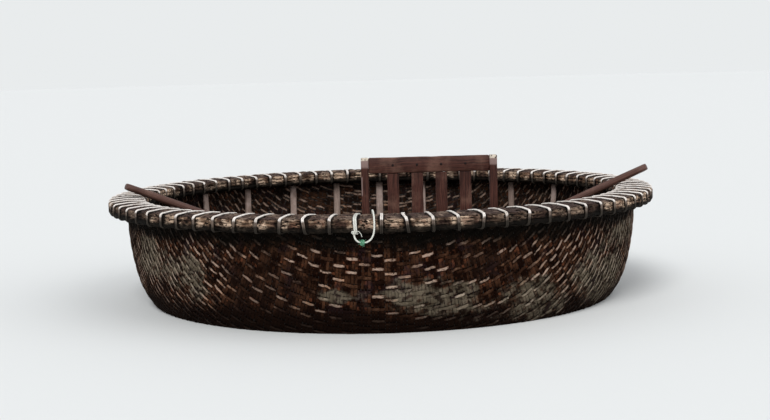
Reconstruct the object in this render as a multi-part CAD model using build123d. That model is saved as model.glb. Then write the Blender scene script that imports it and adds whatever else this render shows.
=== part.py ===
from build123d import *
import os
from math import asin, atan2, cos, hypot, pi, radians, sin, sqrt, tan

# A round woven bamboo basket boat: bowl hull, bundled rim with lashings,
# crossing ribs, a thwart with a backed centre seat, and two paddles at rest.
# Millimetres, +Z up. The origin is the boat's centre on the water plane; the
# thwart lies towards -Y, and the seat faces that way. In the names, left is
# -X and right is +X, as seen from -Y.

# Hull: a bowl of revolution, heights above the water plane
MOUTH_R = 1002          # outside of the woven wall at the rim
SHELL_T = 9             # thickness of the woven shell
WALL_STRAIGHT_Z = 352   # the wall stands upright above this height
SHOULDER_Z = 115        # the upper wall turns into the bilge here
SHOULDER_LEAN = 15      # degrees off upright at the shoulder
BILGE_R = 300           # radius of the bilge
BILGE_END = 70          # degrees off upright where the bottom begins

# Rim: hoops stacked either side of the wall
RIM_BASE_Z = 367        # underside of the hoops
HOOP_H = 15             # height of one hoop
HOOPS_IN_STACK = 3
LENGTHS_IN_HOOP = 6     # a hoop is lengths of split bamboo, end to end
OUTER_HOOP_W = 67       # from the wall outwards
INNER_HOOP_W = 56       # from the wall inwards
HOOP_EDGE = 5           # rounding between neighbouring hoops
RIM_CORNER = 12         # rounding of the bundle's own corners
CAP_W = 36              # flat split laid over the wall's edge
CAP_H = 5
CAP_EDGE = 2            # rounding of the cap's upper edges
CORNER_LIMIT = 0.6      # share of a hoop's height that a corner's rounding may take
EDGE_LIMIT = 0.3        # share that an edge's rounding may take
FIT = 0.3               # gap between pieces that bear on each other

# Lashings: loops through the wall and round the whole rim
LASH_COUNT = 78
LASH_T = 5              # thickness of a loop
LASH_W = 10             # width of a loop
LASH_BEND = 9           # rounding inside a loop's corners
LASH_SHIFT = -0.3       # degrees from -Y to the first loop
TIE_LASH_T = 6          # the heavier loop that the tie cord starts from
TIE_LASH_W = 12
SLOT_OVERCUT = 3        # how far a slot's cutter stands past the wall's faces

# Ribs: split bamboo, one layer along Y and one over it along X
RIB_W = 30
RIB_T = 10
RIB_PITCH = 200
RIBS_EACH_SIDE = 3      # ribs either side of the middle one
RIB_TOP_Z = 360

# Thwart: planks on two curved ledgers
PLANK_TOP_Z = 205
PLANK_T = 24
PLANK_W = 110
PLANK_PITCH = 116
PLANK_MID_Y = -326
LEDGER_W = 40
LEDGER_H = 40
LEDGER_OVERHANG = 20    # how far a ledger runs past the planks, fore and aft

# Centre seat: frame under the thwart with a back behind it
LEG_X = 30              # leg section
LEG_Y = 34
LEFT_LEG_OFF_RIB = 60   # from the middle rib's line to the left legs
RIGHT_LEG_OFF_RIB = 45  # from the second rib's line to the right legs
FRONT_LEG_OFF_RIB = 70
BACK_POST_OFF_RIB = 90
SEAT_RAIL_H = 40
BACK_TOP_Z = 548
TOP_RAIL_H = 62
TOP_RAIL_T = 22
LOW_RAIL_Z = 262        # underside of the back's lower rail
LOW_RAIL_H = 40
SLAT_COUNT = 4
SLAT_W = 46
SLAT_T = 12
STRETCHER_Z = -40       # middle of the stretchers between legs
STRETCHER_H = 28
STRETCHER_T = 18

# Paddles: one carved piece each, blade down on the hull, shaft on the rim
PADDLE_L = 1560
PADDLE_SHAFT_D = 33
BLADE_L = 720
BLADE_WIDE_L = 180      # stretch at the tip that keeps the full width
BLADE_TIP_W = 88
BLADE_TIP_T = 12
BLADE_ROOT_W = 35
BLADE_ROOT_T = 28
GRIP_L = 110
GRIP_W = 58             # at its widest, then its neck, its end and its thickness
GRIP_NECK_W = 26.4
GRIP_END_W = 40.6
GRIP_T = 26.4
SEAT_GAP = 0.5          # paddle to what it rests on
FIRST_SLOPE = 24        # degrees, a first guess that rest_paddle refines
PADDLE_RESTS = {        # blade tip's x and y in rib pitches, and the lashing under the shaft
    "right": (-1.5, 1.5, 18),
    "left": (1.5, 2.5, -18),
}

# Tie cord on the near rim, its route chosen by hand
CORD_D = 6
CORD_ROUTE = [
    (-97, -1077, 370),
    (-96, -1079, 357),
    (-90, -1080, 345),
    (-80, -1080, 337.5),
    (-60, -1080, 336),
    (-47, -1080, 341),
    (-37, -1080, 352),
    (-31, -1080, 367),
    (-29, -1080, 386),
    (-28.5, -1077, 406),
    (-29.5, -1062, 423),
    (-31, -1038, 431),
    (-33, -1004, 433.5),
    (-34, -968, 431),
    (-34.5, -940, 419.5),
    (-34, -927, 400),
    (-33, -926.8, 378),
]
CORD_ARC_SHARE = 0.45   # share of the shorter run that a corner's arc takes
START_KNOT_R = 9        # ball where the cord leaves the heavier loop
END_KNOT_R = 9          # ball where it ends, against the inner hoops
RING_KNOT_T = 4.6       # half the thickness of the small green knot

# Worked out from the sizes above
WALL_BEND_R = (WALL_STRAIGHT_Z - SHOULDER_Z) / sin(radians(SHOULDER_LEAN))
HOOP_TOP_Z = RIM_BASE_Z + HOOPS_IN_STACK * HOOP_H
CAP_TOP_Z = HOOP_TOP_Z + CAP_H
WALL_IN_R = MOUTH_R - SHELL_T
WALL_MID_R = MOUTH_R - SHELL_T / 2
OUTER_HOOP_R = MOUTH_R + FIT + OUTER_HOOP_W
INNER_HOOP_R = WALL_IN_R - FIT - INNER_HOOP_W
RIB_LAYER_1 = SHELL_T + FIT
RIB_LAYER_2 = RIB_LAYER_1 + RIB_T + FIT
INSIDE_RIBS = RIB_LAYER_2 + RIB_T + FIT
PLANK_UNDER_Z = PLANK_TOP_Z - PLANK_T
LEFT_LEG_X = -LEFT_LEG_OFF_RIB
RIGHT_LEG_X = 2 * RIB_PITCH + RIGHT_LEG_OFF_RIB
FRONT_LEG_Y = -2 * RIB_PITCH - FRONT_LEG_OFF_RIB
BACK_POST_Y = -RIB_PITCH + BACK_POST_OFF_RIB
REACH = 3 * MOUTH_R     # a length that spans the whole boat


def outward(angle):
    """Unit normal out of the bowl at an angle off upright, as (r, z)."""
    return cos(radians(angle)), -sin(radians(angle))


def arc_between(centre, radius, start, end):
    """Arc of the bowl's section, from one angle off upright to another."""
    angles = (start, (start + end) / 2, end)
    return ThreePointArc(*[(centre[0] + radius * outward(a)[0], centre[1] + radius * outward(a)[1])
                           for a in angles])


def bowl_arcs(inset):
    """The bowl's section, set in from the outside, from the wall down to the axis."""
    wall_c = (MOUTH_R - WALL_BEND_R, WALL_STRAIGHT_Z)
    n = outward(SHOULDER_LEAN)
    bilge_c = (wall_c[0] + (WALL_BEND_R - BILGE_R) * n[0], wall_c[1] + (WALL_BEND_R - BILGE_R) * n[1])
    bottom_c, bottom_r = bottom_sphere()
    return [
        arc_between(wall_c, WALL_BEND_R - inset, 0, SHOULDER_LEAN),
        arc_between(bilge_c, BILGE_R - inset, SHOULDER_LEAN, BILGE_END),
        arc_between((0, bottom_c), bottom_r - inset, BILGE_END, 90),
    ]


def bottom_sphere():
    """Height of the bottom arc's centre on the axis, and its radius."""
    n = outward(SHOULDER_LEAN)
    bilge_x = MOUTH_R - WALL_BEND_R + (WALL_BEND_R - BILGE_R) * n[0]
    bilge_z = WALL_STRAIGHT_Z + (WALL_BEND_R - BILGE_R) * n[1]
    end = outward(BILGE_END)
    radius = (bilge_x + BILGE_R * end[0]) / end[0]
    return bilge_z + (BILGE_R - radius) * end[1], radius


def section_edges(inset, top_z):
    """Bowl arcs with the upright stretch above them."""
    arcs = bowl_arcs(inset)
    return [Line((MOUTH_R - inset, top_z), arcs[0] @ 0)] + arcs


def bowl_solid(inset, top_z):
    """Everything inside the bowl's section, up to a height."""
    edges = section_edges(inset, top_z)
    bottom = edges[-1] @ 1
    edges += [Line(bottom, (0, top_z)), Line((0, top_z), (MOUTH_R - inset, top_z))]
    return revolve(Plane.XZ * make_face(edges), Axis.Z)


def bowl_shell(outer_inset, inner_inset, top_z):
    """A layer of the bowl between two insets."""
    outer = section_edges(outer_inset, top_z)
    inner = section_edges(inner_inset, top_z)
    ends = [Line(outer[0] @ 0, inner[0] @ 0), Line(outer[-1] @ 1, inner[-1] @ 1)]
    return revolve(Plane.XZ * make_face(outer + inner + ends), Axis.Z)


def span_box(x_range, y_range, z_range):
    """A box from its ranges."""
    size = [high - low for low, high in (x_range, y_range, z_range)]
    middle = [(high + low) / 2 for low, high in (x_range, y_range, z_range)]
    return Pos(*middle) * Box(*size)


def rounded_section(r_range, z_range, corner_radii):
    """A rectangle in (r, z) whose corners, each given by place, are rounded."""
    corners = [(r, z) for r, z in ((r_range[0], z_range[0]), (r_range[1], z_range[0]),
                                   (r_range[1], z_range[1]), (r_range[0], z_range[1]))]
    face = make_face(Polyline(*corners, close=True))
    for (side, level), radius in corner_radii.items():
        place = Vector(r_range[side], z_range[level])
        corner = min(face.vertices(), key=lambda v: (Vector(v.X, v.Y) - place).length)
        face = fillet(corner, radius)
    return face


def ring(face):
    """A hoop from its section."""
    return revolve(Plane.XZ * face, Axis.Z)


def joint_cutters(level):
    """Thin gaps between a hoop's lengths, staggered by level, each halfway between two lashings."""
    lashings_each = LASH_COUNT / LENGTHS_IN_HOOP
    gap = span_box((0, REACH), (-FIT / 2, FIT / 2), (RIM_BASE_Z, HOOP_TOP_Z))
    return round_the_rim(gap, [round((i + level / HOOPS_IN_STACK) * lashings_each) + 0.5
                               for i in range(LENGTHS_IN_HOOP)])


def hoop(r_range, level, free_side):
    """One hoop of a stack, in lengths; level counts from below, free_side is away from the wall."""
    low = RIM_BASE_Z + level * HOOP_H
    corner = min(RIM_CORNER, CORNER_LIMIT * HOOP_H)
    edge = min(HOOP_EDGE, EDGE_LIMIT * HOOP_H)
    radii = {
        (free_side, 0): corner if level == 0 else edge,
        (free_side, 1): corner if level == HOOPS_IN_STACK - 1 else edge,
    }
    return ring(rounded_section(r_range, (low, low + HOOP_H), radii)) - joint_cutters(level)


def lash_opening():
    """What a lashing encloses, as a section in (r, z)."""
    r_in, r_out = INNER_HOOP_R - FIT, OUTER_HOOP_R + FIT
    half_cap = CAP_W / 2 + FIT
    points = [
        (r_in, RIM_BASE_Z - FIT),
        (r_out, RIM_BASE_Z - FIT),
        (r_out, HOOP_TOP_Z + FIT),
        (WALL_MID_R + half_cap, CAP_TOP_Z + FIT),
        (WALL_MID_R - half_cap, CAP_TOP_Z + FIT),
        (r_in, HOOP_TOP_Z + FIT),
    ]
    face = make_face(Polyline(*points, close=True))
    return fillet(face.vertices(), LASH_BEND)


def lash_loop(thickness, width):
    """One loop in the plane y = 0, on the +X side."""
    inside = lash_opening()
    band = offset(inside, amount=thickness) - inside
    return extrude(Plane.XZ * band, width / 2, both=True)


def lash_angle(index):
    """Degrees about Z of a loop, counted from the one nearest -Y."""
    return -90 + LASH_SHIFT + index * 360 / LASH_COUNT


def round_the_rim(shape, indices):
    """Copies of a shape made on +X, at the lashings' angles."""
    return [Rot(0, 0, lash_angle(i)) * shape for i in indices]


def slot_cutter(thickness, width):
    """The hole that a loop passes through in the wall."""
    z_low = RIM_BASE_Z - FIT - thickness - FIT
    return span_box((WALL_IN_R - SLOT_OVERCUT, MOUTH_R + SLOT_OVERCUT),
                    (-width / 2 - FIT, width / 2 + FIT), (z_low, RIM_BASE_Z))


def woven_hull():
    """The basket, with a slot for every lashing."""
    shell = bowl_shell(0, SHELL_T, HOOP_TOP_Z - FIT)
    cutters = round_the_rim(slot_cutter(LASH_T, LASH_W), range(LASH_COUNT - 1))
    cutters += round_the_rim(slot_cutter(TIE_LASH_T, TIE_LASH_W), [-1])
    return shell - cutters


def ribs(inset, fore_aft):
    """One layer of ribs, cut from a layer of the bowl; each lies in its own upright plane."""
    layer = bowl_shell(inset, inset + RIB_T, RIB_TOP_Z)
    whole = (-REACH, REACH)
    cut = []
    for index in range(-RIBS_EACH_SIDE, RIBS_EACH_SIDE + 1):
        strip = (index * RIB_PITCH - RIB_W / 2, index * RIB_PITCH + RIB_W / 2)
        cut.append(layer & span_box(*((strip, whole, whole) if fore_aft else (whole, strip, whole))))
    return cut


def ledger(side):
    """Curved cleat inside the ribs that carries one end of the thwart."""
    y_half = PLANK_PITCH + PLANK_W / 2 + LEDGER_OVERHANG
    bar = bowl_shell(INSIDE_RIBS, INSIDE_RIBS + LEDGER_W, RIB_TOP_Z)
    x_range = (0, REACH) if side > 0 else (-REACH, 0)
    return bar & span_box(x_range, (PLANK_MID_Y - y_half, PLANK_MID_Y + y_half),
                          (PLANK_UNDER_Z - LEDGER_H, PLANK_UNDER_Z))


def thwart_plank(index):
    """A plank from wall to wall; index -1 is the front one."""
    y = PLANK_MID_Y + index * PLANK_PITCH
    board = span_box((-REACH, REACH), (y - PLANK_W / 2, y + PLANK_W / 2), (PLANK_UNDER_Z, PLANK_TOP_Z))
    return board & bowl_solid(INSIDE_RIBS, RIB_TOP_Z)


def standing_leg(x, y, top_z):
    """A post cut to stand on the hull between the ribs."""
    post = span_box((x - LEG_X / 2, x + LEG_X / 2), (y - LEG_Y / 2, y + LEG_Y / 2), (-REACH, top_z))
    return post & bowl_solid(SHELL_T + FIT, REACH)


def seat_rail(x):
    """Bearer under the planks, butting on the back post."""
    front = FRONT_LEG_Y - LEG_Y / 2
    back = BACK_POST_Y - LEG_Y / 2
    return span_box((x - LEG_X / 2, x + LEG_X / 2), (front, back),
                    (PLANK_UNDER_Z - SEAT_RAIL_H, PLANK_UNDER_Z))


def stretcher(x):
    """Bar between a front leg and a back post."""
    return span_box((x - STRETCHER_T / 2, x + STRETCHER_T / 2),
                    (FRONT_LEG_Y + LEG_Y / 2, BACK_POST_Y - LEG_Y / 2),
                    (STRETCHER_Z - STRETCHER_H / 2, STRETCHER_Z + STRETCHER_H / 2))


def back_rail(low_z, height):
    """Rail of the seat's back, between the posts."""
    return span_box((LEFT_LEG_X + LEG_X / 2, RIGHT_LEG_X - LEG_X / 2),
                    (BACK_POST_Y - TOP_RAIL_T / 2, BACK_POST_Y + TOP_RAIL_T / 2),
                    (low_z, low_z + height))


def back_slats():
    """Upright slats between the two back rails."""
    span = RIGHT_LEG_X - LEFT_LEG_X - LEG_X
    pitch = span / (SLAT_COUNT + 1)
    first = LEFT_LEG_X + LEG_X / 2
    z_range = (LOW_RAIL_Z + LOW_RAIL_H, BACK_TOP_Z - TOP_RAIL_H)
    return [span_box((first + i * pitch - SLAT_W / 2, first + i * pitch + SLAT_W / 2),
                     (BACK_POST_Y - SLAT_T / 2, BACK_POST_Y + SLAT_T / 2), z_range)
            for i in range(1, SLAT_COUNT + 1)]


def paddle():
    """A paddle along +X with the middle of its blade's tip at the origin."""
    shaft = Rot(0, 90, 0) * Cylinder(PADDLE_SHAFT_D / 2, PADDLE_L - BLADE_L - GRIP_L,
                                     align=(Align.CENTER, Align.CENTER, Align.MIN))
    shaft = Pos(BLADE_L, 0, 0) * shaft
    return blade() + shaft + grip()


def blade():
    """Long narrow blade, widest at its straight tip, thickest at the root."""
    tip, root = BLADE_TIP_W / 2, BLADE_ROOT_W / 2
    plan = make_face(Polyline((0, -tip), (BLADE_WIDE_L, -tip), (BLADE_L, -root), (BLADE_L, root),
                              (BLADE_WIDE_L, tip), (0, tip), close=True))
    thin, thick = BLADE_TIP_T / 2, BLADE_ROOT_T / 2
    side = make_face(Polyline((0, -thin), (BLADE_L, -thick), (BLADE_L, thick), (0, thin), close=True))
    return extrude(plan, BLADE_ROOT_T, both=True) & extrude(Plane.XZ * side, BLADE_TIP_W, both=True)


def grip():
    """Flared grip at the shaft's upper end."""
    start, widest = PADDLE_L - GRIP_L, PADDLE_L - GRIP_W / 2
    neck, wide, end = GRIP_NECK_W / 2, GRIP_W / 2, GRIP_END_W / 2
    plan = make_face(Polyline((start, -neck), (widest, -wide), (PADDLE_L, -end), (PADDLE_L, end),
                              (widest, wide), (start, neck), close=True))
    return extrude(plan, GRIP_T / 2, both=True)


def shaft_rests():
    """Rounded corners of a lashing that a shaft may lie on, as centres in (r, z)."""
    shoulder_r = INNER_HOOP_R - FIT
    cap_r = WALL_MID_R - CAP_W / 2 - FIT
    rise = atan2(CAP_H, cap_r - shoulder_r)
    shoulder_z = HOOP_TOP_Z + FIT + LASH_BEND * (tan(rise) - 1 / cos(rise))
    return [
        (shoulder_r + LASH_BEND, shoulder_z),
        (cap_r + LASH_BEND * tan(rise / 2), CAP_TOP_Z + FIT - LASH_BEND),
    ]


def rest_paddle(tip_x, tip_y, lash_index):
    """A paddle with its tip on the hull at (x, y) and its shaft on a lashing."""
    angle = radians(lash_angle(lash_index))
    rests = shaft_rests()
    toward = (rests[0][0] * cos(angle) - tip_x, rests[0][0] * sin(angle) - tip_y)
    heading = atan2(toward[1], toward[0])
    off_axis = LASH_BEND + LASH_T + PADDLE_SHAFT_D / 2 + SEAT_GAP
    slope = radians(FIRST_SLOPE)
    for _ in range(6):
        tip_z = blade_tip_height(tip_x, tip_y, heading, slope)
        slopes = []
        for rest_r, rest_z in rests:
            away = (rest_r * cos(angle) - tip_x) * cos(heading) + (rest_r * sin(angle) - tip_y) * sin(heading)
            rise = rest_z - tip_z
            slopes.append(atan2(rise, away) + asin(off_axis / hypot(rise, away)))
        slope = max(slopes)
    return Pos(tip_x, tip_y, tip_z) * Rot(0, 0, heading * 180 / pi) * Rot(0, -slope * 180 / pi, 0) * paddle()


def blade_tip_height(tip_x, tip_y, heading, slope):
    """Height of the tip's middle when its lower corner just clears the hull."""
    centre_z, radius = bottom_sphere()
    inside = radius - SHELL_T - SEAT_GAP
    drop = BLADE_TIP_T / 2
    heights = []
    for side in (-BLADE_TIP_W / 2, BLADE_TIP_W / 2):
        x = tip_x - side * sin(heading) + drop * sin(slope) * cos(heading)
        y = tip_y + side * cos(heading) + drop * sin(slope) * sin(heading)
        heights.append(centre_z - sqrt(inside ** 2 - x ** 2 - y ** 2) + drop * cos(slope))
    return max(heights)


def cord_radii(route):
    """Arc radius at each inner point: a share of the shorter run over the tangent of half the turn."""
    radii = []
    for before, here, after in zip(route, route[1:], route[2:]):
        first, second = Vector(*here) - Vector(*before), Vector(*after) - Vector(*here)
        turn = radians(first.get_angle(second))
        radii.append(CORD_ARC_SHARE * min(first.length, second.length) / tan(turn / 2))
    return radii


def cord_tube():
    """Round tube along the tie cord."""
    path = FilletPolyline(*CORD_ROUTE, radius=cord_radii(CORD_ROUTE))
    return sweep(Plane(path @ 0, z_dir=path % 0) * Circle(CORD_D / 2), path)


def run_direction(start, end):
    """Unit vector between two points of the cord's route."""
    return (Vector(*CORD_ROUTE[end]) - Vector(*CORD_ROUTE[start])).normalized()


def end_knot(start, end, radius):
    """A ball at an end of the cord, with a socket that the cord's end fits in."""
    way = run_direction(start, end)
    place = Vector(*CORD_ROUTE[start])
    socket = Plane(place - way * FIT, z_dir=way) * Cylinder(
        CORD_D / 2 + FIT, 2 * radius, align=(Align.CENTER, Align.CENTER, Align.MIN))
    return Plane(place) * Sphere(radius) - socket


def ring_knot():
    """A small knot round the cord, halfway along its lowest run."""
    first, second = min(zip(CORD_ROUTE, CORD_ROUTE[1:]), key=lambda run: run[0][2] + run[1][2])
    first, second = Vector(*first), Vector(*second)
    place = Plane((first + second) / 2, z_dir=second - first)
    return place * Torus(CORD_D / 2 + FIT + RING_KNOT_T, RING_KNOT_T)


def model():
    """Every node by name."""
    levels = ("low", "mid", "high")
    nodes = {"woven_hull": woven_hull()}
    for level, name in enumerate(levels):
        nodes["outer_hoop_" + name] = hoop((MOUTH_R + FIT, OUTER_HOOP_R), level, 1)
        nodes["inner_hoop_" + name] = hoop((INNER_HOOP_R, WALL_IN_R - FIT), level, 0)
    nodes["rim_cap"] = ring(rounded_section((WALL_MID_R - CAP_W / 2, WALL_MID_R + CAP_W / 2),
                                            (HOOP_TOP_Z, CAP_TOP_Z), {(0, 1): CAP_EDGE, (1, 1): CAP_EDGE}))
    nodes["rim_lashings"] = round_the_rim(lash_loop(LASH_T, LASH_W), range(LASH_COUNT - 1))
    nodes["tie_lashing"] = round_the_rim(lash_loop(TIE_LASH_T, TIE_LASH_W), [-1])[0]
    for number, piece in enumerate(ribs(RIB_LAYER_1, True), 1):
        nodes["rib_fore_aft_" + str(number)] = piece
    for number, piece in enumerate(ribs(RIB_LAYER_2, False), 1):
        nodes["rib_across_" + str(number)] = piece
    nodes["thwart_ledger_left"] = ledger(-1)
    nodes["thwart_ledger_right"] = ledger(1)
    for index, name in zip((-1, 0, 1), ("front", "mid", "back")):
        nodes["thwart_plank_" + name] = thwart_plank(index)
    for name, x in (("left", LEFT_LEG_X), ("right", RIGHT_LEG_X)):
        nodes["seat_front_leg_" + name] = standing_leg(x, FRONT_LEG_Y, PLANK_UNDER_Z - SEAT_RAIL_H)
        nodes["seat_back_post_" + name] = standing_leg(x, BACK_POST_Y, BACK_TOP_Z)
        nodes["seat_rail_" + name] = seat_rail(x)
        nodes["seat_stretcher_" + name] = stretcher(x)
    nodes["seat_back_top_rail"] = back_rail(BACK_TOP_Z - TOP_RAIL_H, TOP_RAIL_H)
    nodes["seat_back_low_rail"] = back_rail(LOW_RAIL_Z, LOW_RAIL_H)
    nodes["seat_back_slats"] = back_slats()
    for side, (x_pitches, y_pitches, lash_index) in PADDLE_RESTS.items():
        nodes["paddle_" + side] = rest_paddle(x_pitches * RIB_PITCH, y_pitches * RIB_PITCH, lash_index)
    nodes["tie_cord"] = cord_tube()
    room = round_the_rim(lash_loop(TIE_LASH_T + FIT, TIE_LASH_W + 2 * FIT), [-1])[0]
    nodes["tie_knot_start"] = end_knot(0, 1, START_KNOT_R) - room
    nodes["tie_knot_green"] = ring_knot()
    nodes["tie_knot_end"] = end_knot(-1, -2, END_KNOT_R)
    return nodes


def write_node(name, shape):
    """One STEP file for a node, which may hold several separate solids."""
    if isinstance(shape, (list, tuple)):
        shape = Compound(children=[s for piece in shape for s in piece.solids()])
    else:
        shape = Compound(children=list(shape.solids()))
    export_step(shape, "parts/" + name + ".step")


os.makedirs("parts", exist_ok=True)
print("cord radii", [round(r, 1) for r in cord_radii(CORD_ROUTE)])
for node_name, node_shape in model().items():
    write_node(node_name, node_shape)
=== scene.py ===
from math import cos, hypot, pi, radians, sin, sqrt, tan

import bpy
import numpy as np
from mathutils import Matrix, Vector


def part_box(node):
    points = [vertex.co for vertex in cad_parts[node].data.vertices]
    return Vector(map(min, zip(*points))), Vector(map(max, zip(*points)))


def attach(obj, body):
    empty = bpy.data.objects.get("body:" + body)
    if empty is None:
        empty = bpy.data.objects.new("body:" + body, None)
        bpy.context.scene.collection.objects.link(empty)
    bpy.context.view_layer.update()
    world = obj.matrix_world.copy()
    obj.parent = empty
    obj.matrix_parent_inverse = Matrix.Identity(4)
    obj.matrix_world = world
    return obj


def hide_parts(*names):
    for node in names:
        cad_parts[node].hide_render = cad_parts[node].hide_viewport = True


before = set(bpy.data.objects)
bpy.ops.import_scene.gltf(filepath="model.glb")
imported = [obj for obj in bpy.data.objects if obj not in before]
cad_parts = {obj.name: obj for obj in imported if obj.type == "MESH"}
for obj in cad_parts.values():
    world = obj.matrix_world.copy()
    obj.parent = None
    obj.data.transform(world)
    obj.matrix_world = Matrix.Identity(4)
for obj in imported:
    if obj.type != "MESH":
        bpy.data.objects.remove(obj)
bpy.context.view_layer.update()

# Everything is in metres, with +Z up and the water plane at z = 0.
UP = np.array([0, 0, 1.0])

# Hull: the frame's bowl of revolution
MOUTH_R = 1.002
WALL_STRAIGHT_Z = 0.352
SHOULDER_Z = 0.115
SHOULDER_LEAN = radians(15)
BILGE_R = 0.300
BILGE_END = radians(70)
WALL_BEND_R = (WALL_STRAIGHT_Z - SHOULDER_Z) / sin(SHOULDER_LEAN)

# Weave: rows lie along X, bands along Y, both measured on the flattened hull
ROW_PITCH = 0.016
ROW_W = 0.0124
BAND_PITCH = 0.053
STRIPS_IN_BAND = 4
STRIP_W = 0.0113
TWILL_BANDS = 12        # bands either side of the middle with the twill; plain weave beyond
ZIGZAG = 0.0028         # sideways kink of the rows in the plain weave
WEAVE_TOP_Z = 0.400     # the weave ends here, between the rim's hoops
EDGE_GAP = 0.010        # a strip whose middle lies nearer to the weave's edge is left out
INSIDE_STRIPS = 2       # strips in a band as drawn inside the hull

# Depths below the hull's outer surface
ROW_OVER = -0.0008
ROW_UNDER = 0.0040
BAND_OVER = 0.0012
BAND_UNDER = 0.0046
CORE_OUT = 0.0054
CORE_IN = 0.0062
INNER_OVER = 0.0091
INNER_UNDER = 0.0066
CROWN = 0.0012          # how far a strip's edges lie below its middle
CORE_STATIONS = 60      # points down the plain ground between the strips
ROUND_SIDES = 160       # sides of a full turn of that ground, and of the floor

# Rim
RIM_BASE_Z = 0.367
HOOP_TOP_Z = 0.412
CAP_TOP_Z = 0.417
OUTER_R = 1.0693
INNER_R = 0.9367
WALL_MID_R = 0.9975
CAP_W = 0.036
RIM_MID_Z = 0.390
FIT = 0.0003
LASH_COUNT = 78
LASH_SHIFT = radians(-0.3)
LASH_T = 0.005
LASH_BEND = 0.009
LASH_STEP = 0.86        # share of a turn after which a lashing's cord steps over to the next turn
LASH_CROSSING = 0.93    # share of the last turn where it crosses over the others
LASH_SEGMENT = 0.0085   # longest straight part of a lashing's line
LASH_LEAN = 0.0040      # how far a lashing leans aside, as a spread
TIE_LASH_T = 0.006
RIM_STATIONS = 538      # points round the rim along each split
PINCH = 0.0028          # how far a lashing draws the splits in
PINCH_W = 0.16          # reach of that to each side, as a share of the lashings' pitch
SPLIT_LIFT = 0.0016     # how far the splits stand off their line between the lashings

# Ribs and woodwork
RIB_W = 0.030
RIB_T = 0.010
RIB_PITCH = 0.200
RIB_TOP_Z = 0.360
RIB_LAYER_1 = 0.0093
RIB_LAYER_2 = 0.0196
INSIDE_RIBS = 0.0299
ON_HULL = 0.0093
RIB_KNOTS = 0.34        # distance between the knots along a rib
RIBS = 7                # in each direction
RIB_STATIONS = 70       # points along half a rib
LEDGER_T = 0.040
LEDGER_STATIONS = 30
SLATS = 4
SLAT_W = 0.046
PEG_R = 0.0055
PEG_PROUD = 0.0012

# Paddles: lengths of the blade and the grip
BLADE_L = 0.72
GRIP_L = 0.11

# Tie cord, on the frame's route
CORD_D = 0.006
CORD_LAY = 0.019        # length of one twist of its strands
CORD_SEGMENT = 0.0016
KNOT_R = 0.0088
START_KNOT_CORD = 0.0026    # radius of the cord that a knot is drawn of
END_KNOT_CORD = 0.0028
KNOT_STATIONS = 72
GREEN_FIBRES = 26
GREEN_FIBRE_R = 0.0004
CORD_ROUTE = [
    (-0.097, -1.077, 0.370),
    (-0.096, -1.079, 0.357),
    (-0.090, -1.080, 0.345),
    (-0.080, -1.080, 0.3375),
    (-0.060, -1.080, 0.336),
    (-0.047, -1.080, 0.341),
    (-0.037, -1.080, 0.352),
    (-0.031, -1.080, 0.367),
    (-0.029, -1.080, 0.386),
    (-0.0285, -1.077, 0.406),
    (-0.0295, -1.062, 0.423),
    (-0.031, -1.038, 0.431),
    (-0.033, -1.004, 0.4335),
    (-0.034, -0.968, 0.431),
    (-0.0345, -0.940, 0.4195),
    (-0.034, -0.927, 0.400),
    (-0.033, -0.9268, 0.378),
]

# Windings of the green knot: shift along X, direction, radius, and radius of its twine
GREEN_WINDINGS = [
    (0.0, (1, 0, -0.02), 0.0110, 0.0024),
    (0.002, (0.9, 0.3, 0.2), 0.0105, 0.0022),
]

# Camera, fitted to the rim's ellipse in the photograph's 770 x 420 frame
PHOTO_W = 770
FOCAL_PX = 1440
CAMERA_AT = (-0.03, -5.759, 0.933)
CAMERA_YAW = 0.008
CAMERA_PITCH = 0.1045
CAMERA_ROLL = -0.026


def dice(seed):
    """A seeded source of random numbers."""
    return np.random.default_rng(seed)


def random_tint(rng):
    """The tint of one cord, rib or board: two values by chance and 0.5."""
    return np.array([rng.random(), rng.random(), 0.5])


def wobble(t, rng, amount, slowest, fastest, waves=5):
    """Smooth noise along t, which runs over one turn from 0 to 2 pi; it closes on itself."""
    total = np.zeros_like(t)
    for _ in range(waves):
        total += np.sin(t * rng.integers(slowest, fastest + 1) + rng.uniform(0, 2 * pi))
    return amount * total / sqrt(waves / 2)


def circle(count):
    """Evenly spaced angles over one turn."""
    return np.arange(count) * 2 * pi / count


def revolved(turn, r, z):
    """A grid of the points (r, z) turned about Z."""
    height = np.broadcast_to(z, (len(turn), len(r)))
    return np.stack([np.cos(turn)[:, None] * r, np.sin(turn)[:, None] * r, height], -1)


def in_planes(radial, rz):
    """Points or directions (r, z) in the planes of radial directions."""
    return radial * rz[:, :1] + UP * rz[:, 1:]


def linked(name, data):
    """A new object in the scene."""
    result = bpy.data.objects.new(name, data)
    bpy.context.scene.collection.objects.link(result)
    return result


def bowl_parts():
    """The section's centres and radii: wall, bilge, and the bottom's centre height and radius."""
    wall = (MOUTH_R - WALL_BEND_R, WALL_STRAIGHT_Z)
    reach = WALL_BEND_R - BILGE_R
    bilge = (wall[0] + reach * cos(SHOULDER_LEAN), wall[1] - reach * sin(SHOULDER_LEAN))
    bottom_r = (bilge[0] + BILGE_R * cos(BILGE_END)) / cos(BILGE_END)
    return wall, bilge, bilge[1] + (bottom_r - BILGE_R) * sin(BILGE_END), bottom_r


WALL_C, BILGE_C, BOTTOM_Z, BOTTOM_R = bowl_parts()
S_BILGE = BOTTOM_R * (pi / 2 - BILGE_END)
S_WALL = S_BILGE + BILGE_R * (BILGE_END - SHOULDER_LEAN)
S_STRAIGHT = S_WALL + WALL_BEND_R * SHOULDER_LEAN
S_TOP = S_STRAIGHT + WEAVE_TOP_Z - WALL_STRAIGHT_Z
S_RIB_TOP = S_STRAIGHT + RIB_TOP_Z - WALL_STRAIGHT_Z


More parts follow.
